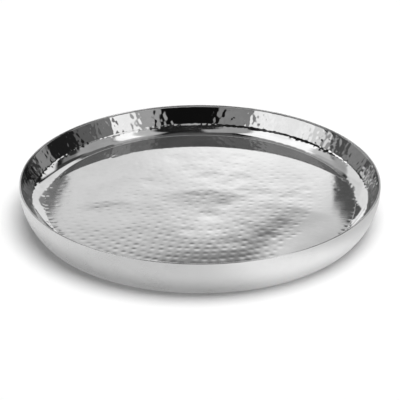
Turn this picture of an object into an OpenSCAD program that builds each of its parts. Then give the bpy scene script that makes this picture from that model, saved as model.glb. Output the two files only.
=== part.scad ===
// Round double-walled serving tray in stainless steel.
// A shallow polished pan hangs from its rim inside a deeper satin shell, with air between the two.
// The origin is at the middle of the underside, and +Z points up.

/* [Tray] */
// Diameter over the rim
rim_d = 350; // [280:1:450]
// Height from the table to the top of the rim
tray_h = 38; // [32:0.5:60]

/* [Inner pan] */
// Depth from the top of the rim to the pan's floor
pan_depth = 24; // [16:0.5:28]
// Distance from the outside of the rim in to the edge of the flat floor
floor_in = 24; // [20:0.5:60]
// Distance from the outside of the rim in to the crease between the slope and the wall
crease_in = 11.6; // [9:0.2:16]
// Height of that crease above the floor
crease_h = 6.6; // [3:0.2:12]
// Thickness of the pan's sheet
pan_t = 0.8; // [0.5:0.1:1.5]

/* [Outer shell] */
// Distance that the wall comes in between the rim and the table
wall_in = 14; // [5:0.5:20]
// Thickness of the shell's sheet
shell_t = 0.8; // [0.5:0.1:1.5]
// Outside radius where the wall turns into the base
corner_r = 3; // [2:0.5:6]
// Width of the flat ring that the tray stands on
foot_w = 9; // [4:0.5:20]
// Height by which the base panel is raised inside that ring
recess_h = 1.2; // [0.8:0.1:3]

/* [Rim] */
// Height of the upright lands where pan and shell nest
land_h = 2; // [1:0.1:5]
// Gap between the nested lands
nest_gap = 0.1; // [0:0.05:0.3]
// Height of the weld over the edges of both sheets
weld_h = 0.8; // [0.6:0.05:1.5]
// Bevel along the weld's two upper edges
weld_bevel = 0.4; // [0.1:0.05:0.45]

/* [Vent] */
// Diameter of the vent hole in the base panel
vent_d = 5; // [3:0.5:10]
// Width of the plug's head around the hole
plug_lip = 3; // [1.5:0.5:8]
// Height of the plug's head above the table
plug_lift = 0.5; // [0:0.1:0.5]
// Length of the plug's shank above the base panel
plug_tail = 1.5; // [0.5:0.1:4]
// Gap around the plug's shank
plug_gap = 0.05; // [0:0.05:0.2]

/* [Hidden] */

$fn = 180;
// Overshoot of cutting shapes
cut = 1;

// Rim: the weld covers the edges of both sheets
rim_r = rim_d / 2;
weld_w = shell_t + nest_gap + pan_t;
seam_z = tray_h - weld_h;
land_z = seam_z - land_h;
land_r = rim_r - weld_w;

// Pan: the flat floor folds up into a gentle slope, and above the crease the wall is steeper
floor_r = rim_r - floor_in;
floor_z = tray_h - pan_depth;
fold = [floor_r, floor_z];
crease = [rim_r - crease_in, floor_z + crease_h];
land_foot = [land_r, land_z];

// Shell: one arc from the foot of the land to the table, tangent to the land and to the corner round
belly_r = (pow(wall_in, 2) + pow(land_z, 2)) / (2 * wall_in);
belly_x = rim_r - belly_r;
corner_x = belly_x + sqrt(pow(belly_r - corner_r, 2) - pow(land_z - corner_r, 2));
corner_dir = [corner_x - belly_x, corner_r - land_z] / (belly_r - corner_r);
foot_r = corner_x - foot_w;

// Body of revolution from a half section, in which x is the distance from the axis
module turned() {
    rotate_extrude() children();
}

// Block of a half section from the axis out to r, between two heights
module block(r, low, high) {
    translate([0, low]) square([r, high - low]);
}

// Outward normal of the straight stretch from p to q of a half section
function outward(p, q) = [q.y - p.y, p.x - q.x] / norm(q - p);

// Corner p between stretches with the normals m and n, moved by o into the sheet
function moved(p, m, n, o) = p + o * (m + n) / (1 + m * n);

// Space inside the pan, grown by o into the sheet and cut off at height top
module pan_space(o, top) {
    slope = outward(fold, crease);
    wall = outward(crease, land_foot);
    polygon([
        [0, floor_z - o],
        moved(fold, [0, -1], slope, o),
        moved(crease, slope, wall, o),
        moved(land_foot, wall, [1, 0], o),
        [land_r + o, top],
        [0, top],
    ]);
}

// Space that the shell encloses, shrunk by i into the sheet and cut off at height top
module shell_space(i, top) {
    turn_z = land_z + (belly_r - i) * corner_dir.y;
    difference() {
        union() {
            block(rim_r - i, land_z, top);
            intersection() {
                translate([belly_x, land_z]) circle(belly_r - i);
                block(rim_r, turn_z, top);
            }
            translate([corner_x, corner_r]) circle(corner_r - i);
            block(corner_x, i, top);
        }
        base_recess(i);
    }
}

// Raised middle of the base, with a 45 degree step that keeps the sheet's thickness
module base_recess(i) {
    step_r = foot_r + i * tan(22.5);
    polygon([
        [0, i - cut],
        [step_r, i - cut],
        [step_r, i],
        [step_r - recess_h, i + recess_h],
        [0, i + recess_h],
    ]);
}

module inner_pan() {
    color("gainsboro") turned() difference() {
        pan_space(pan_t, seam_z);
        pan_space(0, seam_z + cut);
    }
}

module outer_shell() {
    color("silver") difference() {
        turned() difference() {
            shell_space(0, seam_z);
            shell_space(shell_t, seam_z + cut);
        }
        cylinder(d = vent_d, h = recess_h + shell_t + cut);
    }
}

module rim_weld() {
    color("whitesmoke") turned() polygon([
        [land_r, seam_z],
        [rim_r, seam_z],
        [rim_r, tray_h - weld_bevel],
        [rim_r - weld_bevel, tray_h],
        [land_r + weld_bevel, tray_h],
        [land_r, tray_h - weld_bevel],
    ]);
}

module vent_plug() {
    color("darkgray") translate([0, 0, plug_lift]) {
        cylinder(d = vent_d + 2 * plug_lip, h = recess_h - plug_lift);
        cylinder(d = vent_d - 2 * plug_gap, h = recess_h - plug_lift + shell_t + plug_tail);
    }
}

inner_pan();
outer_shell();
rim_weld();
vent_plug();
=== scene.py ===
"""Looks of a round, double-walled serving tray with a hammered inside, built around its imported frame.

Lengths are in metres in the tray's own frame: the origin is at the middle of the underside and +Z points up.
Studio angles are in degrees: azimuth from the camera's side to the right, elevation from the horizon up.
"""

from __future__ import annotations

import logging
import math
from collections.abc import Iterable
from dataclasses import dataclass
from enum import Enum
from functools import cache

import bmesh
import bpy
import numpy as np
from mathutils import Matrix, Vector

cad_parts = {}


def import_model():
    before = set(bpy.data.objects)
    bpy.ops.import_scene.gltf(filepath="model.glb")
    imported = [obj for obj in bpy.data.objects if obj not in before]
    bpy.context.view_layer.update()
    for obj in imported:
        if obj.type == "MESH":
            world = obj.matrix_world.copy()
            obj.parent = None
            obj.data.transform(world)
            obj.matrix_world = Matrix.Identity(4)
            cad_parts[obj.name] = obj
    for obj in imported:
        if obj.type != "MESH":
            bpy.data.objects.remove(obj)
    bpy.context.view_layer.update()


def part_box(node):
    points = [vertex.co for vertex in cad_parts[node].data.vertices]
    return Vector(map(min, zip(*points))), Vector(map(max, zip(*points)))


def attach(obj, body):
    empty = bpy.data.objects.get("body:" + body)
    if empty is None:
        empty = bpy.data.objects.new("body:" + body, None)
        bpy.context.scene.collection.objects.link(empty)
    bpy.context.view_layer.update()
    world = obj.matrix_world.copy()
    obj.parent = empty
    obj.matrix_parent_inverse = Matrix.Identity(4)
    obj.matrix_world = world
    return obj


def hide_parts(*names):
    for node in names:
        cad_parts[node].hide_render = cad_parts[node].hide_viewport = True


LOG = logging.getLogger("serving_tray")
MM = 0.001
BODY = "root"
SEED = 7
NOISE_SPAN = (0.3, 0.7)
SECTION_POINTS = 2001
MERGE_DISTANCE = 0.001 * MM
NEAR_AXIS = 1 * MM

Point = tuple[float, float]
Span = tuple[float, float]
Ring = tuple[float, float, float, float, float]
Socket = bpy.types.NodeSocket


class Slot(Enum):
    """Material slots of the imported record."""

    PAN = "pan_polish"
    SHELL = "shell_satin"
    RIM = "rim_polish"
    PLUG = "plug_steel"


@dataclass(frozen=True)
class TrayForm:
    """Sizes that the tray's pieces share.

    The overall sizes come from the frame, and the others are those of the sheets.
    """

    rim_r: float
    height: float
    seam_z: float
    land_r: float
    floor_z: float
    sheet: float = 0.8 * MM
    land_h: float = 2 * MM
    floor_in: float = 24 * MM
    crease_in: float = 11.6 * MM
    crease_h: float = 6.6 * MM
    wall_in: float = 14 * MM
    corner_r: float = 3 * MM
    foot_w: float = 9 * MM
    recess_h: float = 1.2 * MM
    vent_r: float = 2.5 * MM

    @classmethod
    def from_frame(cls) -> TrayForm:
        """Read the overall sizes from the frame's nodes.

        Returns:
            The tray's sizes.
        """
        pan_low, pan_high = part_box("inner_pan")
        _, shell_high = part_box("outer_shell")
        _, weld_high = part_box("rim_weld")
        return cls(
            rim_r=shell_high.x,
            height=weld_high.z,
            seam_z=pan_high.z,
            land_r=pan_high.x - cls.sheet,
            floor_z=pan_low.z + cls.sheet,
        )

    @property
    def land_z(self) -> float:
        """Height at which the upright lands under the rim begin."""
        return self.seam_z - self.land_h

    @property
    def floor_r(self) -> float:
        """Radius of the pan's flat floor."""
        return self.rim_r - self.floor_in

    @property
    def crease_r(self) -> float:
        """Radius of the crease between the pan's slope and its wall."""
        return self.rim_r - self.crease_in

    @property
    def crease_z(self) -> float:
        """Height of that crease."""
        return self.floor_z + self.crease_h


def arc(centre: Point, radius: float, start: float, end: float, steps: int) -> list[Point]:
    """Points along a round stretch of an outline.

    Args:
        centre: Centre of the arc, as distance from the axis and height.
        radius: Radius of the arc.
        start: Angle of the first point, in radians from the outward direction.
        end: Angle of the last point.
        steps: Number of pieces that the arc is cut into.

    Returns:
        The points from start to end.
    """
    angles = np.linspace(start, end, steps + 1)
    return [(centre[0] + radius * math.cos(a), centre[1] + radius * math.sin(a)) for a in angles]


def turned(outline: list[Point], steps: int, closed: bool = True) -> bmesh.types.BMesh:
    """Spin an outline round the tray's axis.

    Args:
        outline: Points of the half section, as distance from the axis and height.
        steps: Number of pieces round the axis.
        closed: Whether the last point joins the first.

    Returns:
        The closed shell, with its faces outwards.
    """
    bm = bmesh.new()
    verts = [bm.verts.new((r, 0.0, z)) for r, z in outline]
    pairs = list(zip(verts, verts[1:]))
    if closed:
        pairs.append((verts[-1], verts[0]))
    edges = [bm.edges.new(pair) for pair in pairs]
    bmesh.ops.spin(
        bm, geom=verts + edges, cent=(0, 0, 0), axis=(0, 0, 1), angle=math.tau, steps=steps, use_merge=True
    )
    bmesh.ops.remove_doubles(bm, verts=bm.verts[:], dist=MERGE_DISTANCE)
    bmesh.ops.recalc_face_normals(bm, faces=bm.faces[:])
    return bm


def made_mesh(name: str, bm: bmesh.types.BMesh) -> bpy.types.Mesh:
    """Turn a bmesh into a mesh.

    Args:
        name: Name of the mesh.
        bm: The bmesh, which is freed here.

    Returns:
        The mesh.
    """
    mesh = bpy.data.meshes.new(name)
    bm.to_mesh(mesh)
    bm.free()
    return mesh


def finish_piece(mesh: bpy.types.Mesh, sharp: float = math.radians(35)) -> bpy.types.Object:
    """Turn a mesh into a smooth shaded object at the origin.

    Args:
        mesh: Mesh of the piece, which gives it its name.
        sharp: Angle above which an edge stays sharp, in radians.

    Returns:
        The linked object.
    """
    mesh.shade_smooth()
    mesh.set_sharp_from_angle(angle=sharp)
    piece = bpy.data.objects.new(mesh.name, mesh)
    bpy.context.scene.collection.objects.link(piece)
    return piece


def place(piece: bpy.types.Object, node: str, material: bpy.types.Material) -> None:
    """Dress a piece and let it stand for its node of the frame.

    Args:
        piece: The finished piece.
        node: Node of the frame that it replaces.
        material: Finish of the piece.
    """
    piece.data.materials.clear()
    piece.data.materials.append(material)
    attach(piece, BODY)
    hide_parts(node)
    LOG.info("%s stands for %s, with %d faces", piece.name, node, len(piece.data.polygons))


class Graph:
    """Adds and wires the nodes of one node tree."""

    def __init__(self, tree: bpy.types.NodeTree) -> None:
        """Start from an empty tree.

        Args:
            tree: Node tree to fill, which is cleared.
        """
        self.tree = tree
        tree.nodes.clear()

    def add(self, kind: str, inputs: dict[str, object] | None = None, **settings: object) -> bpy.types.Node:
        """Add a node.

        Args:
            kind: Type name of the node.
            inputs: Values or sockets for the node's inputs, by name.
            **settings: Properties of the node.

        Returns:
            The new node.
        """
        node = self.tree.nodes.new(kind)
        for key, value in settings.items():
            setattr(node, key, value)
        for key, value in (inputs or {}).items():
            self.feed(value, node.inputs[key])
        return node

    def feed(self, value: object, target: Socket) -> None:
        """Wire a socket to an input, or set the input to a constant.

        Args:
            value: Socket or constant.
            target: The input.
        """
        if isinstance(value, Socket):
            self.tree.links.new(value, target)
        else:
            target.default_value = value

    def math(self, operation: str, *values: object, clamp: bool = False) -> Socket:
        """Add a Math node.

        Args:
            operation: Name of the operation.
            *values: Sockets or numbers, in order.
            clamp: Whether the result is kept between 0 and 1.

        Returns:
            The result.
        """
        node = self.add("ShaderNodeMath", operation=operation, use_clamp=clamp)
        for value, target in zip(values, node.inputs):
            self.feed(value, target)
        return node.outputs[0]

    def span(self, value: object, low: float, high: float, to_low: float, to_high: float) -> Socket:
        """Map a value smoothly from one span to another.

        Args:
            value: Socket to map.
            low: Value that becomes to_low.
            high: Value that becomes to_high.
            to_low: Result at the low end.
            to_high: Result at the high end.

        Returns:
            The mapped value.
        """
        names = ("Value", "From Min", "From Max", "To Min", "To Max")
        ends = dict(zip(names, (value, low, high, to_low, to_high)))
        return self.add("ShaderNodeMapRange", ends, interpolation_type="SMOOTHSTEP").outputs[0]

    def blend(self, factor: object, first: object, second: object) -> Socket:
        """Blend two values.

        Args:
            factor: Share of the second value.
            first: Value where the factor is 0.
            second: Value where the factor is 1.

        Returns:
            The blended value.
        """
        mix = self.add("ShaderNodeMix", data_type="FLOAT")
        for value, target in zip((factor, first, second), (mix.inputs[0], mix.inputs[2], mix.inputs[3])):
            self.feed(value, target)
        return mix.outputs[0]

    def group(self, tree: bpy.types.ShaderNodeTree, values: dict[str, object]) -> Socket:
        """Place a node group.

        Args:
            tree: Tree of the group.
            values: Values or sockets for the group's inputs, by name.

        Returns:
            The group's output.
        """
        return self.add("ShaderNodeGroup", values, node_tree=tree).outputs[0]


def group_tree(name: str, inputs: dict[str, str], outputs: dict[str, str]) -> bpy.types.ShaderNodeTree:
    """Make a shader node group with its sockets.

    Args:
        name: Name of the group.
        inputs: Socket type of each input, by name.
        outputs: Socket type of each output, by name.

    Returns:
        The group's empty tree.
    """
    tree = bpy.data.node_groups.new(name, "ShaderNodeTree")
    for sockets, direction in ((inputs, "INPUT"), (outputs, "OUTPUT")):
        for label, kind in sockets.items():
            tree.interface.new_socket(label, in_out=direction, socket_type=kind)
    return tree


@cache
def brushed_group() -> bpy.types.ShaderNodeTree:
    """Build the group of fine lines that all finishes share.

    The lines run round the axis, or up the wall where they are wide and short.

    Returns:
        The group, with Position, Along and Across as inputs and Lines as output.
    """
    tree = group_tree(
        "brushed_round_the_axis",
        {"Position": "NodeSocketVector", "Along": "NodeSocketFloat", "Across": "NodeSocketFloat"},
        {"Lines": "NodeSocketFloat"},
    )
    graph = Graph(tree)
    given = graph.add("NodeGroupInput")
    parts = graph.add("ShaderNodeSeparateXYZ", {"Vector": given.outputs["Position"]})
    x, y, z = parts.outputs
    radius = graph.math("SQRT", graph.math("ADD", graph.math("MULTIPLY", x, x), graph.math("MULTIPLY", y, y)))
    around = graph.math("DIVIDE", given.outputs["Along"], graph.math("MAXIMUM", radius, NEAR_AXIS))
    across = graph.math("MULTIPLY", graph.math("ADD", radius, z), given.outputs["Across"])
    lane = graph.add(
        "ShaderNodeCombineXYZ",
        {"X": graph.math("MULTIPLY", x, around), "Y": graph.math("MULTIPLY", y, around), "Z": across},
    )
    noise = graph.add("ShaderNodeTexNoise", {"Vector": lane.outputs[0], "Scale": 1.0, "Detail": 3.0})
    graph.add("NodeGroupOutput", {"Lines": noise.outputs[0]})
    return tree


@cache
def clouded_group() -> bpy.types.ShaderNodeTree:
    """Build the group of soft clouds, as buffing leaves them, that all finishes share.

    Returns:
        The group, with Position and Scale as inputs and Cloud as output.
    """
    tree = group_tree(
        "clouded_polish",
        {"Position": "NodeSocketVector", "Scale": "NodeSocketFloat"},
        {"Cloud": "NodeSocketFloat"},
    )
    graph = Graph(tree)
    given = graph.add("NodeGroupInput")
    noise = graph.add(
        "ShaderNodeTexNoise",
        {
            "Vector": given.outputs["Position"],
            "Scale": given.outputs["Scale"],
            "Detail": 4.0,
            "Roughness": 0.6,
        },
    )
    graph.add("NodeGroupOutput", {"Cloud": graph.span(noise.outputs[0], *NOISE_SPAN, 0.0, 1.0)})
    return tree


@dataclass(frozen=True)
class SteelFinish:
    """One finish of stainless steel: its tone, its gloss and the lines in it."""

    name: str
    tone: Span
    gloss: Span
    cloud_scale: float
    lines_along: float
    lines_across: float
    lines_gloss: float
    lines_depth: float = 0.004 * MM

    def material(self) -> bpy.types.Material:
        """Build the finish as a procedural material.

        Returns:
            The material.
        """
        material = bpy.data.materials.new(self.name)
        material.use_nodes = True
        graph = Graph(material.node_tree)
        position = graph.add("ShaderNodeTexCoord").outputs["Object"]
        cloud = graph.group(clouded_group(), {"Position": position, "Scale": self.cloud_scale})
        lines = graph.group(
            brushed_group(), {"Position": position, "Along": self.lines_along, "Across": self.lines_across}
        )
        tone = graph.span(cloud, 0.0, 1.0, *self.tone)
        colour = graph.add("ShaderNodeCombineColor", {"Red": tone, "Green": tone, "Blue": tone})
        gloss = graph.span(cloud, 0.0, 1.0, *self.gloss)
        uneven = graph.span(lines, *NOISE_SPAN, -self.lines_gloss, self.lines_gloss)
        gloss = graph.math("ADD", gloss, uneven, clamp=True)
        bump = graph.add("ShaderNodeBump", {"Height": lines, "Strength": 1.0, "Distance": self.lines_depth})
        steel = graph.add(
            "ShaderNodeBsdfPrincipled",
            {"Base Color": colour.outputs[0], "Metallic": 1.0, "Roughness": gloss, "Normal": bump.outputs[0]},
        )
        graph.add("ShaderNodeOutputMaterial", {"Surface": steel.outputs[0]})
        return material


@dataclass(frozen=True)
class HammerPattern:
    """Rows of hammer marks, or a single row: where they lie and how deep they are."""

    pitch: float
    mark_r: Span
    depth: Span
    jitter: float
    row_pitch: float = 0.0
    first_row: float = 1.0

    def rows(self, start: float, end: float) -> np.ndarray:
        """Place the rows of marks.

        Args:
            start: Distance along the sheet from which the rows are counted.
            end: Distance at which they end.

        Returns:
            Distance along the sheet of each row.
        """
        return np.arange(start + self.first_row * self.row_pitch, end, self.row_pitch)


FLOOR_MARKS = HammerPattern(
    pitch=8.6 * MM,
    row_pitch=9.5 * MM,
    mark_r=(2.5 * MM, 3.7 * MM),
    depth=(0.012 * MM, 0.034 * MM),
    jitter=0.9 * MM,
)
WALL_MARKS = HammerPattern(
    pitch=7.0 * MM,
    row_pitch=4.5 * MM,
    first_row=0.6,
    mark_r=(2.6 * MM, 5.0 * MM),
    depth=(0.05 * MM, 0.18 * MM),
    jitter=2.2 * MM,
)
WALL_DENTS = HammerPattern(
    pitch=4.6 * MM,
    row_pitch=2.8 * MM,
    mark_r=(1.8 * MM, 2.8 * MM),
    depth=(0.02 * MM, 0.12 * MM),
    jitter=2.0 * MM,
)
CREASE_MARKS = HammerPattern(
    pitch=7.0 * MM,
    mark_r=(2.4 * MM, 3.2 * MM),
    depth=(0.05 * MM, 0.18 * MM),
    jitter=1.2 * MM,
)
FOLD_MARKS = HammerPattern(
    pitch=10.5 * MM,
    mark_r=(3.2 * MM, 4.6 * MM),
    depth=(0.015 * MM, 0.05 * MM),
    jitter=1.0 * MM,
)
FOLD_SCALLOPS = HammerPattern(
    pitch=8.5 * MM,
    mark_r=(3.0 * MM, 4.6 * MM),
    depth=(0.1 * MM, 0.45 * MM),
    jitter=1.2 * MM,
)


@dataclass(frozen=True)
class SoftDish:
    """Broad shallow dish that hammering leaves in the floor."""

    centre: Point
    half: Point
    depth: float
    front_stretch: float = 1.0

    def press(self, x: np.ndarray, y: np.ndarray) -> np.ndarray:
        """Depth of the dish.

        Args:
            x: First coordinate of each point.
            y: Second coordinate of each point.

        Returns:
            Depth at each point.
        """
        off_y = y - self.centre[1]
        half_y = np.where(off_y < 0, self.half[1] * self.front_stretch, self.half[1])
        reach = ((x - self.centre[0]) / self.half[0]) ** 2 + (off_y / half_y) ** 2
        return self.depth * np.clip(1 - reach, 0, None) ** 2


@dataclass(frozen=True)
class SoftBuckle:
    """Straight trough in the floor, steep on the side of the tray's middle and gentle beyond."""

    middle: Point
    heading: float
    half_length: float
    steep_w: float
    gentle_w: float
    depth: float
    end_power: float = 1.5

    def beyond(self, x: np.ndarray | float, y: np.ndarray | float) -> np.ndarray | float:
        """Distance from the trough's line, positive on the side away from the middle."""
        return (x - self.middle[0]) * math.cos(self.heading) + (y - self.middle[1]) * math.sin(self.heading)

    def press(self, x: np.ndarray, y: np.ndarray) -> np.ndarray:
        """Depth of the trough.

        Args:
            x: First coordinate of each point.
            y: Second coordinate of each point.

        Returns:
            Depth at each point.
        """
        off = self.beyond(x, y)
        along = (y - self.middle[1]) * math.cos(self.heading) - (x - self.middle[0]) * math.sin(self.heading)
        width = np.where(off < 0, self.steep_w, self.gentle_w)
        ends = np.clip(1 - (along / self.half_length) ** 2, 0, None) ** self.end_power
        return self.depth * np.exp(-((off / width) ** 2)) * ends


FLOOR_DISHES = (
    SoftDish((3 * MM, -14 * MM), (46 * MM, 42 * MM), 0.33 * MM, front_stretch=1.7),
    SoftDish((-90 * MM, -24 * MM), (36 * MM, 26 * MM), 0.16 * MM, front_stretch=1.5),
    SoftDish((20 * MM, -150 * MM), (85 * MM, 54 * MM), 0.3 * MM),
)
FLOOR_BUCKLE = SoftBuckle(
    middle=(68 * MM, -84 * MM),
    heading=math.radians(-25.5),
    half_length=74 * MM,
    steep_w=18 * MM,
    gentle_w=25 * MM,
    depth=0.5 * MM,
)


def press_marks(
    across: np.ndarray, along: np.ndarray, centres: np.ndarray, radii: np.ndarray, depths: np.ndarray
) -> np.ndarray:
    """Depth that round hammer marks press into a sheet.

    Args:
        across: First coordinate of each point on the sheet.
        along: Second coordinate of each point on the sheet.
        centres: Two coordinates of each mark.
        radii: Radius of each mark.
        depths: Depth of each mark at its middle.

    Returns:
        Depth at each point.
    """
    pressed = np.zeros(len(across))
    order = np.argsort(across)
    sorted_across = across[order]
    for (u, v), radius, depth in zip(centres, radii, depths):
        first, last = np.searchsorted(sorted_across, (u - radius, u + radius))
        near = order[first:last]
        reach = ((across[near] - u) ** 2 + (along[near] - v) ** 2) / radius**2
        pressed[near] += depth * np.clip(1 - reach, 0, None) ** 2
    return pressed


@dataclass(frozen=True)
class PanSection:
    """Section of the pan's inside along the sheet, from the edge of the floor to the lip under the rim."""

    along: np.ndarray
    r: np.ndarray
    z: np.ndarray
    slope: np.ndarray
    crease_at: float

    @classmethod
    def bent(
        cls, form: TrayForm, top_z: float, fold_round: float, slope_bend: float, crease_round: float
    ) -> PanSection:
        """Bend the sheet at the fold, along the hollow slope and at the crease.

        Args:
            form: Sizes of the tray.
            top_z: Height at which the wall ends.
            fold_round: Radius of the fold between the floor and the slope.
            slope_bend: Half of the angle by which the slope is hollow, in radians.
            crease_round: Radius of the crease between the slope and the wall.

        Returns:
            The section.
        """
        run, rise = form.crease_r - form.floor_r, top_z - form.crease_z
        climb = math.atan2(form.crease_h, run)
        wall = math.atan2(rise, form.land_r - form.crease_r)
        first, last = climb - slope_bend, climb + slope_bend
        fold_cut = fold_round * math.tan(first / 2)
        crease_cut = crease_round * math.tan((wall - last) / 2)
        lengths = (
            fold_round * first,
            math.hypot(run, form.crease_h) * slope_bend / math.sin(slope_bend) - fold_cut - crease_cut,
            crease_round * (wall - last),
            math.hypot(rise, form.land_r - form.crease_r) - crease_cut,
        )
        ends = np.concatenate(((0.0,), np.cumsum(lengths)))
        along = np.linspace(0.0, ends[-1], SECTION_POINTS)
        slope = np.interp(along, ends, (0.0, first, last, wall, wall))
        middle = (slope[1:] + slope[:-1]) / 2
        r = form.floor_r - fold_cut + np.concatenate(((0.0,), np.cumsum(np.cos(middle)) * along[1]))
        z = form.floor_z + np.concatenate(((0.0,), np.cumsum(np.sin(middle)) * along[1]))
        share = along / along[-1]
        r += share * (form.land_r - r[-1])
        z += share * (top_z - z[-1])
        return cls(along, r, z, slope, ends[2] + lengths[2] / 2)

    @property
    def end(self) -> float:
        """Length of the section along the sheet."""
        return float(self.along[-1])

    def at(self, along: float) -> tuple[float, float, float, float]:
        """Point and normal of the pan's inner surface.

        Args:
            along: Distance along the sheet from the edge of the floor.

        Returns:
            Distance from the axis, height, and the normal's part outwards and upwards.
        """
        r, z, slope = (float(np.interp(along, self.along, part)) for part in (self.r, self.z, self.slope))
        return r, z, -math.sin(slope), math.cos(slope)


@dataclass
class HammeredPan:
    """Polished inner pan: a flat floor, a gentle slope and a steep wall, all hammered by hand."""

    form: TrayForm
    cells: int = 222
    ring_step: float = 1.25 * MM
    crease_step: float = 0.5 * MM
    crease_half: float = 2.0 * MM
    hammer_centre: Point = (3.6 * MM, 3.0 * MM)
    marks_edge: float = 2.5 * MM
    fold_step: float = 0.3 * MM
    fold_half: float = 1.8 * MM
    fold_round: float = 1.0 * MM
    slope_bend: float = math.radians(8)
    crease_round: float = 8.0 * MM
    crisp_to: float = 60 * MM
    crisp_fade: float = 25 * MM
    lip_h: float = 0.2 * MM
    bare_edge: float = 16 * MM
    front_from: float = -20 * MM
    front_to: float = -120 * MM
    front_deeper: float = 0.9
    front_wider: float = 0.25
    calm_from: float = 104 * MM
    calm_share: float = 0.95
    sheet_share: float = 0.9
    row_slip: float = 0.3
    under_shares: tuple[float, ...] = (1.0, 0.8, 0.6, 0.4, 0.2, 0.0)
    on_fold: float = 0.01 * MM
    dents: int = 200
    dents_ring: Span = (131 * MM, 146 * MM)
    dents_side: Span = (math.radians(105), math.radians(134))
    dents_r: Span = (2.0 * MM, 3.6 * MM)
    dents_depth: Span = (0.01 * MM, 0.045 * MM)
    waves: int = 120
    waves_r: Span = (8 * MM, 18 * MM)
    waves_depth: Span = (0.01 * MM, 0.05 * MM)
    waves_reach: float = 108 * MM
    sharp: float = math.radians(50)
    finish: SteelFinish = SteelFinish(
        name="polished_pan_steel",
        tone=(0.74, 0.80),
        gloss=(0.025, 0.045),
        cloud_scale=30.0,
        lines_along=90.0,
        lines_across=60.0,
        lines_gloss=0.008,
    )

    def __post_init__(self) -> None:
        """Bend the section of the sheet and start the unevenness of hand work."""
        self.rng = np.random.default_rng(SEED)
        top_z = self.form.seam_z - self.lip_h
        self.section = PanSection.bent(self.form, top_z, self.fold_round, self.slope_bend, self.crease_round)

    @property
    def floor_edge(self) -> float:
        """Radius at which the fold round the floor begins."""
        return float(self.section.r[0])

    def stations(self) -> np.ndarray:
        """Place the mesh's rings, closer together at the fold and the crease.

        Returns:
            Distances along the sheet.
        """
        crease, end = self.section.crease_at, self.section.end
        fold = np.arange(self.fold_step, self.fold_half - self.fold_step / 2, self.fold_step)
        before = np.arange(self.fold_half, crease - self.crease_half, self.ring_step)
        fine_end = crease + self.crease_half - self.crease_step / 2
        fine = np.arange(crease - self.crease_half, fine_end, self.crease_step)
        after = np.linspace(crease + self.crease_half, end, math.ceil((end - crease) / self.ring_step))
        return np.concatenate((fold, before, fine, after))

    def outline(self) -> list[Ring]:
        """Rings of the pan from the floor's edge over the rim to the underside.

        Returns:
            Radius, height, the normal outwards and upwards, and the distance along the sheet, of each ring.
        """
        form = self.form
        inside = [(*self.section.at(s), s) for s in self.stations()]
        end = inside[-1][4]
        inside.append((form.land_r, form.seam_z, -1.0, 0.0, end + self.lip_h))
        outer_r = form.land_r + form.sheet
        under = [(outer_r, form.seam_z), (outer_r, form.land_z)]
        for share in self.under_shares:
            r, z, out, up = self.section.at(share * self.section.crease_at)
            under.append((r - form.sheet * out, z - form.sheet * up))
        return inside + [(r, z, 0.0, 0.0, -1.0) for r, z in under]

    def base_mesh(self) -> tuple[bpy.types.Mesh, list[Ring]]:
        """Smooth pan: a disc of even cells, whose edge is extruded up the wall and back down outside.

        Returns:
            The mesh, with an attribute that holds each vertex's ring, and the rings.
        """
        bm = bmesh.new()
        bmesh.ops.create_grid(bm, x_segments=self.cells, y_segments=self.cells, size=1.0)
        for vert in bm.verts:
            vert.co = self.on_disc(vert.co)
        layer = bm.verts.layers.int.new("ring")
        rings = self.outline()
        edges = [edge for edge in bm.edges if edge.is_boundary]
        for number, (r, z, *_) in enumerate(rings, start=1):
            made = bmesh.ops.extrude_edge_only(bm, edges=edges)["geom"]
            for vert in (item for item in made if isinstance(item, bmesh.types.BMVert)):
                scale = r / math.hypot(vert.co.x, vert.co.y)
                vert.co = (vert.co.x * scale, vert.co.y * scale, z)
                vert[layer] = number
            edges = [item for item in made if isinstance(item, bmesh.types.BMEdge) and item.is_boundary]
        bmesh.ops.edgeloop_fill(bm, edges=edges)
        bmesh.ops.recalc_face_normals(bm, faces=bm.faces[:])
        return made_mesh("hammered_pan", bm), rings

    def on_disc(self, spot: Vector) -> Vector:
        """Move a point of the square grid to its place on the round floor.

        Args:
            spot: Point of a square that reaches from -1 to 1.

        Returns:
            Point of the floor, with the square's rings of cells turned into circles.
        """
        reach = max(abs(spot.x), abs(spot.y))
        if reach == 0.0:
            return Vector((0.0, 0.0, self.form.floor_z))
        if abs(spot.x) >= abs(spot.y):
            angle = spot.y / spot.x * math.pi / 4 + (math.pi if spot.x < 0 else 0.0)
        else:
            angle = math.pi / 2 - spot.x / spot.y * math.pi / 4 + (math.pi if spot.y < 0 else 0.0)
        r = reach * self.floor_edge
        return Vector((r * math.cos(angle), r * math.sin(angle), self.form.floor_z))

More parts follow.
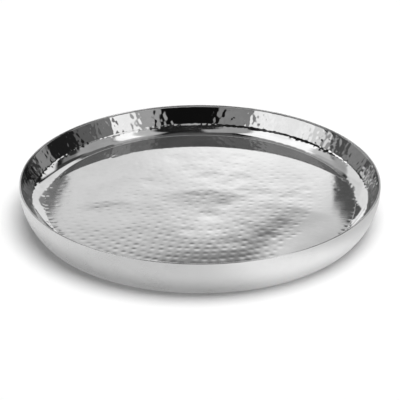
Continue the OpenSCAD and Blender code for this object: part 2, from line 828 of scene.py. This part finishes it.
    def floor_marks(self, x: np.ndarray, y: np.ndarray) -> np.ndarray:
        """Depth of the rings of hammer marks on the floor.

        Args:
            x: First coordinate of each point.
            y: Second coordinate of each point.

        Returns:
            Depth at each point.
        """
        marks = FLOOR_MARKS
        spots = [self.hammer_centre]
        reach = self.floor_edge - self.marks_edge
        for row in range(1, math.ceil(self.form.rim_r / marks.row_pitch)):
            radius = row * marks.row_pitch
            count = round(math.tau * radius / marks.pitch)
            turn = self.rng.uniform(0, math.tau)
            for step in range(count):
                angle = turn + math.tau * step / count
                slip = self.rng.uniform(-marks.jitter, marks.jitter, 2)
                spot = (
                    self.hammer_centre[0] + radius * math.cos(angle) + slip[0],
                    self.hammer_centre[1] + radius * math.sin(angle) + slip[1],
                )
                if math.hypot(*spot) < reach and FLOOR_BUCKLE.beyond(*spot) < self.bare_edge:
                    spots.append(spot)
        spots = np.array(spots)
        radii = self.rng.uniform(*marks.mark_r, len(spots))
        depths = self.rng.uniform(*marks.depth, len(spots))
        front = np.clip((spots[:, 1] - self.front_from) / (self.front_to - self.front_from), 0, 1)
        spots += self.rng.uniform(-marks.jitter, marks.jitter, spots.shape) * front[:, None]
        edge = np.clip((np.hypot(spots[:, 0], spots[:, 1]) - self.calm_from) / (reach - self.calm_from), 0, 1)
        depths *= 1 + self.front_deeper * front - self.calm_share * np.sqrt(edge) * (1 - front)
        pressed = press_marks(x, y, spots, radii * (1 + self.front_wider * front), depths)
        pressed += self.back_dents(x, y) + self.soft_waves(x, y)
        for wave in (*FLOOR_DISHES, FLOOR_BUCKLE):
            pressed += wave.press(x, y)
        pressed = np.minimum(pressed, self.sheet_share * self.form.sheet)
        return pressed * np.clip((self.floor_edge - np.hypot(x, y)) / self.marks_edge, 0, 1)

    def back_dents(self, x: np.ndarray, y: np.ndarray) -> np.ndarray:
        """Depth of the small scattered dents along the back of the floor.

        Args:
            x: First coordinate of each point.
            y: Second coordinate of each point.

        Returns:
            Depth at each point.
        """
        radius, angle = (self.rng.uniform(*ends, self.dents) for ends in (self.dents_ring, self.dents_side))
        spots = np.stack((radius * np.cos(angle), radius * np.sin(angle)), axis=1)
        radii, depths = (self.rng.uniform(*ends, self.dents) for ends in (self.dents_r, self.dents_depth))
        return press_marks(x, y, spots, radii, depths)

    def soft_waves(self, x: np.ndarray, y: np.ndarray) -> np.ndarray:
        """Depth of the wide, very shallow waves that hammering leaves between the marks.

        Args:
            x: First coordinate of each point.
            y: Second coordinate of each point.

        Returns:
            Depth at each point.
        """
        spots = self.rng.uniform(-self.waves_reach, self.waves_reach, (self.waves, 2))
        radii, depths = (self.rng.uniform(*ends, self.waves) for ends in (self.waves_r, self.waves_depth))
        depths[np.hypot(*spots.T) > self.waves_reach] = 0.0
        return press_marks(x, y, spots, radii, depths)

    def wall_marks(
        self, marks: HammerPattern, rows: Iterable[float], arc_at: np.ndarray, along: np.ndarray
    ) -> np.ndarray:
        """Depth of rows of hammer marks round the wall.

        Args:
            marks: Pattern of the marks.
            rows: Distance along the sheet of each row.
            arc_at: Distance of each point round the wall.
            along: Distance of each point along the sheet.

        Returns:
            Depth at each point.
        """
        length = math.tau * self.form.land_r
        count = round(length / marks.pitch)
        spots = []
        for row in rows:
            for step in range(count):
                slip = self.rng.uniform(-marks.jitter, marks.jitter, 2)
                turn_at = (step + self.rng.uniform(0, self.row_slip)) * length / count
                spots.append((turn_at + slip[0], row + slip[1]))
        radii = self.rng.uniform(*marks.mark_r, len(spots))
        depths = self.rng.uniform(*marks.depth, len(spots))
        spots, radii, depths = np.array(spots), np.tile(radii, 3), np.tile(depths, 3)
        turns = np.concatenate([spots + (turn * length, 0.0) for turn in (-1, 0, 1)])
        return press_marks(arc_at, along, turns, radii, depths)

    def hammer(self, mesh: bpy.types.Mesh, rings: list[Ring]) -> np.ndarray:
        """Press the hammer marks into the smooth pan and scallop its fold.

        Args:
            mesh: Mesh of the smooth pan.
            rings: Its rings.

        Returns:
            Whether each vertex lies on the crisp part of the fold.
        """
        count = len(mesh.vertices)
        place_of = np.empty(count * 3)
        mesh.vertices.foreach_get("co", place_of)
        place_of = place_of.reshape(count, 3)
        ring = np.empty(count, dtype=np.int32)
        mesh.attributes["ring"].data.foreach_get("value", ring)
        table = np.array([(0.0, 0.0, 0.0, 1.0, 0.0), *rings])
        out, up, along = table[ring, 2], table[ring, 3], table[ring, 4]
        angle = np.arctan2(place_of[:, 1], place_of[:, 0])
        lift = np.zeros(count)

        floor = ring == 0
        x, y = place_of[floor, 0], place_of[floor, 1]
        lift[floor] -= self.floor_marks(x, y)
        along[floor] = np.hypot(x, y) - self.floor_edge

        wall = along > 0
        crease, end = self.section.crease_at, self.section.end
        arc_at = (angle % math.tau) * self.form.land_r
        pressed = np.zeros(np.count_nonzero(wall))
        for marks, rows in (
            (WALL_MARKS, WALL_MARKS.rows(crease, end)),
            (WALL_DENTS, WALL_DENTS.rows(crease, end)),
            (CREASE_MARKS, (crease,)),
        ):
            pressed += self.wall_marks(marks, rows, arc_at[wall], along[wall])
        lift[wall] -= pressed * np.clip((end - along[wall]) / self.ring_step / 2, 0, 1)
        inside = floor | wall
        lift[inside] -= self.wall_marks(FOLD_MARKS, (0.0,), arc_at[inside], along[inside])
        crisp = np.clip((self.crisp_to - place_of[:, 1]) / self.crisp_fade, 0, 1)
        scallop = np.zeros(count)
        scallop[inside] = self.wall_marks(FOLD_SCALLOPS, (0.0,), arc_at[inside], along[inside])

        outward = lift * out + scallop * crisp
        place_of[:, 0] += outward * np.cos(angle)
        place_of[:, 1] += outward * np.sin(angle)
        place_of[:, 2] += lift * up
        mesh.vertices.foreach_set("co", place_of.ravel())
        mesh.attributes.remove(mesh.attributes["ring"])
        mesh.update()
        return floor & (along > -self.on_fold) & (crisp > 0)

    @staticmethod
    def sharpen(mesh: bpy.types.Mesh, chosen: np.ndarray) -> None:
        """Keep the edges between chosen vertices sharp.

        Args:
            mesh: Mesh of the pan.
            chosen: Whether each vertex is chosen.
        """
        ends = np.empty(len(mesh.edges) * 2, dtype=np.int32)
        mesh.edges.foreach_get("vertices", ends)
        sharp = np.empty(len(mesh.edges), dtype=bool)
        mesh.edges.foreach_get("use_edge_sharp", sharp)
        mesh.edges.foreach_set("use_edge_sharp", sharp | chosen[ends].reshape(-1, 2).all(axis=1))

    def build(self) -> bpy.types.Object:
        """Model and dress the pan.

        Returns:
            The pan.
        """
        mesh, rings = self.base_mesh()
        crisp = self.hammer(mesh, rings)
        pan = finish_piece(mesh, self.sharp)
        self.sharpen(mesh, crisp)
        place(pan, "inner_pan", self.finish.material())
        return pan


@dataclass
class SatinShell:
    """Smooth outer shell with a round belly, a foot ring and a raised base panel."""

    form: TrayForm
    steps: int = 360
    belly_steps: int = 28
    corner_steps: int = 8
    panel_rings: tuple[float, ...] = (0.7, 0.4, 0.15, 0.05)
    finish: SteelFinish = SteelFinish(
        name="satin_shell_steel",
        tone=(0.60, 0.66),
        gloss=(0.27, 0.36),
        cloud_scale=18.0,
        lines_along=14.0,
        lines_across=2400.0,
        lines_gloss=0.03,
    )

    def side(self, inset: float) -> list[Point]:
        """Half section of one side of the sheet, from the rim down to the vent.

        Args:
            inset: Distance from the outside into the sheet.

        Returns:
            Points of the outline.
        """
        form = self.form
        belly_r = (form.wall_in**2 + form.land_z**2) / (2 * form.wall_in)
        belly = (form.rim_r - belly_r, form.land_z)
        drop = form.land_z - form.corner_r
        corner = (belly[0] + math.sqrt((belly_r - form.corner_r) ** 2 - drop**2), form.corner_r)
        turn = math.atan2(-drop, corner[0] - belly[0])
        foot_r = corner[0] - form.foot_w
        step_r = foot_r + inset * math.tan(math.pi / 8)
        return [
            (form.rim_r - inset, form.seam_z),
            *arc(belly, belly_r - inset, 0.0, turn, self.belly_steps),
            *arc(corner, form.corner_r - inset, turn, -math.pi / 2, self.corner_steps)[1:],
            (step_r, inset),
            (step_r - form.recess_h, inset + form.recess_h),
            *[(share * form.rim_r, inset + form.recess_h) for share in self.panel_rings],
            (form.vent_r, inset + form.recess_h),
        ]

    def build(self) -> bpy.types.Object:
        """Model and dress the shell.

        Returns:
            The shell.
        """
        outline = self.side(0.0) + self.side(self.form.sheet)[::-1]
        shell = finish_piece(made_mesh("satin_shell", turned(outline, self.steps)))
        place(shell, "outer_shell", self.finish.material())
        return shell


@dataclass
class RimWeld:
    """Ground weld that closes the edges of both sheets."""

    form: TrayForm
    steps: int = 512
    round_steps: int = 12
    flank: float = 0.15 * MM
    finish: SteelFinish = SteelFinish(
        name="ground_rim_steel",
        tone=(0.70, 0.78),
        gloss=(0.12, 0.2),
        cloud_scale=60.0,
        lines_along=40.0,
        lines_across=3000.0,
        lines_gloss=0.03,
        lines_depth=0.002 * MM,
    )

    def build(self) -> bpy.types.Object:
        """Model and dress the weld.

        Returns:
            The weld.
        """
        form = self.form
        width = form.rim_r - form.land_r
        middle = form.land_r + width / 2
        rise = form.height - form.seam_z - self.flank
        radius = (rise**2 + (width / 2) ** 2) / (2 * rise)
        centre = (middle, form.height - radius)
        half = math.asin(width / 2 / radius)
        crown = arc(centre, radius, math.pi / 2 - half, math.pi / 2 + half, self.round_steps)
        outline = [(form.land_r, form.seam_z), (form.rim_r, form.seam_z), *crown]
        weld = finish_piece(made_mesh("rim_weld_bead", turned(outline, self.steps)))
        place(weld, "rim_weld", self.finish.material())
        return weld


@dataclass
class VentPlug:
    """Soldered plug in the vent of the base panel."""

    form: TrayForm
    steps: int = 64
    edge_round: float = 0.3 * MM
    edge_steps: int = 4
    shank_gap: float = 0.05 * MM
    finish: SteelFinish = SteelFinish(
        name="plug_steel_turned",
        tone=(0.52, 0.62),
        gloss=(0.3, 0.42),
        cloud_scale=200.0,
        lines_along=4.0,
        lines_across=5000.0,
        lines_gloss=0.04,
    )

    def build(self) -> bpy.types.Object:
        """Model and dress the plug.

        Returns:
            The plug.
        """
        low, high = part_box("vent_plug")
        head_r, shank_r = high.x, self.form.vent_r - self.shank_gap
        seat_z = self.form.recess_h
        centre = (head_r - self.edge_round, low.z + self.edge_round)
        lip = arc(centre, self.edge_round, -math.pi / 2, 0.0, self.edge_steps)
        outline = [(0.0, low.z), *lip, (head_r, seat_z), (shank_r, seat_z), (shank_r, high.z), (0.0, high.z)]
        plug = finish_piece(made_mesh("vent_plug_head", turned(outline, self.steps, closed=False)))
        place(plug, "vent_plug", self.finish.material())
        return plug


@dataclass(frozen=True)
class StudioCard:
    """Light or dark surface of the studio, by the directions in which the tray sees it."""

    azimuth: Span
    elevation: Span
    level: float
    side_soft: float = 4.0
    edge_soft: float = 4.0

    def inputs(self) -> dict[str, float]:
        """Describe the card to its node group.

        Returns:
            Values of the group's inputs, by name.
        """
        return {
            "Middle": sum(self.azimuth) / 2,
            "Half Width": (self.azimuth[1] - self.azimuth[0]) / 2,
            "Side Soft": self.side_soft,
            "Height": sum(self.elevation) / 2,
            "Half Height": (self.elevation[1] - self.elevation[0]) / 2,
            "Edge Soft": self.edge_soft,
        }


# Azimuth, elevation and level of each card, and how soft its sides and its upper and lower edges are
CARD_ROWS = (
    ((-92, -52), (0, 12), 0.35, 8, 10),
    ((52, 92), (0, 12), 0.35, 8, 10),
    ((-48, 48), (11, 22), 0.6, 12, 9),
    ((-175, -72), (74, 84), 0.38, 8, 3),
    ((-162, -148), (36, 66), 0.3),
    ((-152, -138), (36, 52), 0.5),
    ((-118, -98), (60, 73.5), 1.2, 5, 3),
    ((-148, -117), (50, 73.5), 1.25, 5, 3),
    ((-143, -129), (43, 52), 0.65, 3, 3),
    ((-129, -105), (43, 50.5), 0.03, 2, 2),
    ((-128, -95), (-10, 24), 0.09),
    ((-132, -112), (-10, 16), 0.25),
    ((-150, -131), (-12, 9), 0.09),
    ((-152, -128), (34.5, 42), 0.42, 3, 3),
    ((-153, -131), (20, 34.5), 0.9, 3, 3),
    ((-128, -106), (24, 36), 1.3, 3, 3),
    ((-104, -92), (18, 30), 0.35, 4, 3),
    ((-94, -80), (18, 33), 0.8, 4, 3),
    ((-82, -58), (50, 62), 0.12, 6, 3),
    ((-83, -60), (20, 39), 1.05),
    ((-62, -38), (22, 44), 1.05, 6, 4),
    ((-38, -14), (30, 48), 0.26),
    ((-180, -146), (-12, 24), 0.9, 3, 4),
    ((-163, -150), (20, 33), 0.8, 3, 4),
    ((-168, -157.5), (27, 40), 0.16, 2, 2),
    ((-172, -163.6), (10.5, 30), 0.1, 1.2, 2),
    ((86, 146), (69, 75.5), 0.55, 6, 2.5),
    ((140, 152), (58, 72), 0.5, 4, 3),
    ((92, 142), (62, 69), 1.2, 4, 2.5),
    ((100, 146), (46, 61.5), 0.4, 4, 2),
    ((116, 133), (37, 47.5), 0.03, 3, 3),
    ((133, 142), (40, 47), 0.22, 2, 2),
    ((142, 150), (28, 50), 0.05, 3, 4),
    ((146, 157), (48, 56), 0.15, 3, 3),
    ((150, 162), (56, 68), 0.35, 3, 3),
    ((118, 147), (25, 36), 0.9, 3, 3),
    ((150, 172), (-10, 19), 0.85, 3, 4),
    ((160, 172), (17, 50), 0.28, 1.5, 1.5),
    ((150, 160), (10, 46), 0.85, 2, 4),
    ((40, 62), (46, 68), 0.4, 5, 4),
    ((60, 92), (42, 68), 1.0, 5, 4),
    ((84, 101), (34, 46), 0.3, 4, 3),
    ((28, 46), (22, 50), 0.4, 6, 4),
    ((46, 64), (18, 50), 1.1, 5, 4),
    ((64, 78), (16, 42), 0.2, 6, 4),
    ((78, 92), (12, 36), 0.12, 5, 4),
    ((92, 116), (-10, 30), 0.015),
    ((102, 116.5), (24, 38), 0.02, 2, 3),
    ((116, 130), (-10, 16), 0.28),
    ((130, 149), (-12, 11), 0.04, 4, 3),
    ((160, 200), (58, 73), 0.1, 8, 8),
    ((162, 198), (36, 57), 0.75),
    ((172, 188), (-10, 36), 0.2, 3, 14),
    ((172, 188), (-10, 27.4), 1.11, 3, 5.4),
    ((181, 189), (-10, 27.3), 0.74, 4, 5.4),
    *(
        ((168, side), (24.5, top), 0.1, 0.12, 0.12)
        for side, top in ((176.05, 26.8), (175.85, 27.1), (175.65, 27.3), (175.45, 27.5))
    ),
    *(
        ((side, 190), (24.5, top), level, 0.12, 0.12)
        for side, top, level in (
            (183.9, 26.25, 0.15), (184.1, 26.55, 0.17), (184.25, 26.85, 0.19), (184.4, 27.1, 0.22)
        )
    ),
    ((-14, 28), (30, 95), 0.006),
    ((-10, 24), (48, 74), 0.45, 6, 4),
)


class Studio:
    """Plain soft studio: a pale floor, with light and dark cards around it."""

    base_level = 0.012
    top_light = (55.0, 75.0)
    top_lean = math.radians(10)
    top_levels = (0.08, 5.3)
    second_depth = 2.5
    third_depth = 3.5
    again_from = (38.0, 44.0)
    again_share = 0.85
    again_level = 0.115
    uneven_scale = 7.0
    uneven_share = 0.3
    even_from = (164.0, 172.0)
    floor_tone = 0.94
    # Painted light and shade: stretches across the floor over which its brightness, as the steel mirrors it,
    # changes; the camera doesn't see it: ends, and the factor at each end
    floor_light_in_steel = ((-0.2, -0.12, 1.02, 0.88), (0.0, 0.1, 1.0, 1.46), (0.13, 0.2, 1.0, 0.64))
    floor_fill = 0.06
    # Share of the floor's brightness in the steel that is a painted glow, which lightens the tray's shadow
    # where the steel mirrors it
    floor_glow_in_steel = 0.5
    floor_half = 3.0
    cards = tuple(StudioCard(*row) for row in CARD_ROWS)

    def card_group(self) -> bpy.types.ShaderNodeTree:
        """Mask of one soft-edged card.

        Returns:
            The group, with the direction and the card's place as inputs and Mask as output.
        """
        sockets = dict.fromkeys(("Azimuth", "Elevation", *self.cards[0].inputs()), "NodeSocketFloat")
        tree = group_tree("studio_card", sockets, {"Mask": "NodeSocketFloat"})
        graph = Graph(tree)
        given = graph.add("NodeGroupInput").outputs
        turn = graph.math("WRAP", graph.math("SUBTRACT", given["Azimuth"], given["Middle"]), -180.0, 180.0)
        climb = graph.math("SUBTRACT", given["Elevation"], given["Height"])
        masks = []
        for offset, half, soft in ((turn, "Half Width", "Side Soft"), (climb, "Half Height", "Edge Soft")):
            inside = graph.math("SUBTRACT", given[half], graph.math("ABSOLUTE", offset))
            masks.append(graph.span(graph.math("DIVIDE", inside, given[soft]), -0.5, 0.5, 0.0, 1.0))
        graph.add("NodeGroupOutput", {"Mask": graph.math("MULTIPLY", *masks)})
        return tree

    def light(self) -> None:
        """Build the world.

        The camera sees it white, the floor is lit from above, and the steel mirrors the cards.
        """
        world = bpy.data.worlds.new("studio")
        bpy.context.scene.world = world
        world.use_nodes = True
        graph = Graph(world.node_tree)
        direction = graph.add("ShaderNodeTexCoord").outputs["Generated"]
        x, y, z = graph.add("ShaderNodeSeparateXYZ", {"Vector": direction}).outputs
        azimuth = graph.math("DEGREES", graph.math("ARCTAN2", x, graph.math("MULTIPLY", y, -1.0)))
        elevation = graph.math("DEGREES", graph.math("ARCSINE", z))
        tree = self.card_group()
        level: object = self.base_level
        for card in self.cards:
            mask = graph.group(tree, {"Azimuth": azimuth, "Elevation": elevation, **card.inputs()})
            level = graph.blend(mask, level, card.level)
        noise = graph.add(
            "ShaderNodeTexNoise", {"Vector": direction, "Scale": self.uneven_scale, "Detail": 2.0}
        )
        side = graph.span(graph.math("ABSOLUTE", azimuth), *self.even_from, self.uneven_share, 0.0)
        change = graph.math("MULTIPLY", graph.math("SUBTRACT", noise.outputs[0], 0.5), side)
        level = graph.math("MULTIPLY", level, graph.math("ADD", change, 1.0))
        path = graph.add("ShaderNodeLightPath").outputs
        upright = graph.math("MULTIPLY", z, math.cos(self.top_lean))
        leaning = graph.math("ADD", upright, graph.math("MULTIPLY", x, math.sin(self.top_lean)))
        above = graph.span(
            graph.math("DEGREES", graph.math("ARCSINE", leaning)), *self.top_light, *self.top_levels
        )
        again = graph.math("GREATER_THAN", path["Ray Depth"], self.second_depth)
        again = graph.math("MULTIPLY", again, graph.span(elevation, *self.again_from, 0.0, self.again_share))
        thrice = graph.math("GREATER_THAN", path["Ray Depth"], self.third_depth)
        again = graph.math("MAXIMUM", again, graph.math("MULTIPLY", thrice, self.again_share))
        level = graph.blend(again, level, self.again_level)
        level = graph.blend(path["Is Glossy Ray"], above, level)
        level = graph.blend(path["Is Camera Ray"], level, 1.0)
        glow = graph.add("ShaderNodeBackground", {"Color": level, "Strength": 1.0})
        graph.add("ShaderNodeOutputWorld", {"Surface": glow.outputs[0]})

    def floor(self) -> bpy.types.Object:
        """Lay the pale floor, which is white to the camera and keeps the tray's shadow. In the steel's
        reflections it carries painted light: part of it glows, which lightens the mirrored shadow, and it is
        brighter just to the right of the tray.

        Returns:
            The floor.
        """
        bm = bmesh.new()
        bmesh.ops.create_grid(bm, x_segments=1, y_segments=1, size=self.floor_half)
        floor = finish_piece(made_mesh("studio_floor", bm))
        material = bpy.data.materials.new("pale_floor")
        material.use_nodes = True
        graph = Graph(material.node_tree)
        path = graph.add("ShaderNodeLightPath").outputs
        spot = graph.add("ShaderNodeTexCoord").outputs["Object"]
        across = graph.add("ShaderNodeSeparateXYZ", {"Vector": spot}).outputs[0]
        in_steel: object = 1.0
        # Painted light: the floor's brightness in the steel's reflections changes across it
        for stretch in self.floor_light_in_steel:
            in_steel = graph.math("MULTIPLY", in_steel, graph.span(across, *stretch))
        lit = graph.math("MULTIPLY", in_steel, 1 - self.floor_glow_in_steel)
        # The camera sees the floor's own tone, and the steel sees the painted light
        tone = graph.blend(path["Is Glossy Ray"], self.floor_tone, lit)
        matt = graph.add("ShaderNodeBsdfDiffuse", {"Color": tone})
        seen = graph.math("MULTIPLY", path["Is Camera Ray"], self.floor_fill)
        # Painted glow of the floor in the steel's reflections, which lightens the mirrored shadow
        even = graph.math("MULTIPLY", in_steel, self.floor_glow_in_steel)
        glow = graph.blend(path["Is Glossy Ray"], seen, even)
        fill = graph.add("ShaderNodeEmission", {"Strength": glow})
        both = graph.add("ShaderNodeAddShader")
        graph.feed(matt.outputs[0], both.inputs[0])
        graph.feed(fill.outputs[0], both.inputs[1])
        graph.add("ShaderNodeOutputMaterial", {"Surface": both.outputs[0]})
        floor.data.materials.append(material)
        return floor


@dataclass(frozen=True)
class PhotoCamera:
    """Camera at the photograph's viewing angle."""

    distance: float = 2.1
    elevation: float = 26.06
    tilt: float = 0.572
    focal_px: float = 2164.0
    frame_px: float = 400.0
    sensor: float = 36.0

    def build(self, form: TrayForm) -> bpy.types.Object:
        """Place the camera and make it the scene's own.

        Args:
            form: Sizes of the tray, whose rim the camera looks at.

        Returns:
            The camera.
        """
        data = bpy.data.cameras.new("photo_camera")
        data.sensor_width = self.sensor
        data.lens = self.focal_px * self.sensor / self.frame_px
        camera = bpy.data.objects.new("photo_camera", data)
        bpy.context.scene.collection.objects.link(camera)
        slope = math.radians(self.elevation)
        camera.location = (
            0.0,
            -self.distance * math.cos(slope),
            form.height + self.distance * math.sin(slope),
        )
        camera.rotation_euler = (math.pi / 2 - math.radians(self.elevation + self.tilt), 0.0, 0.0)
        bpy.context.scene.camera = camera
        return camera


def main() -> None:
    """Build the tray piece by piece, then its studio."""
    logging.basicConfig(level=logging.INFO, format="%(name)s: %(message)s")
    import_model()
    form = TrayForm.from_frame()
    bpy.context.scene.view_settings.view_transform = "Standard"
    for maker in (HammeredPan(form), SatinShell(form), RimWeld(form), VentPlug(form)):
        maker.build()
    studio = Studio()
    studio.light()
    studio.floor()
    PhotoCamera().build(form)


if __name__ == "__main__":
    main()
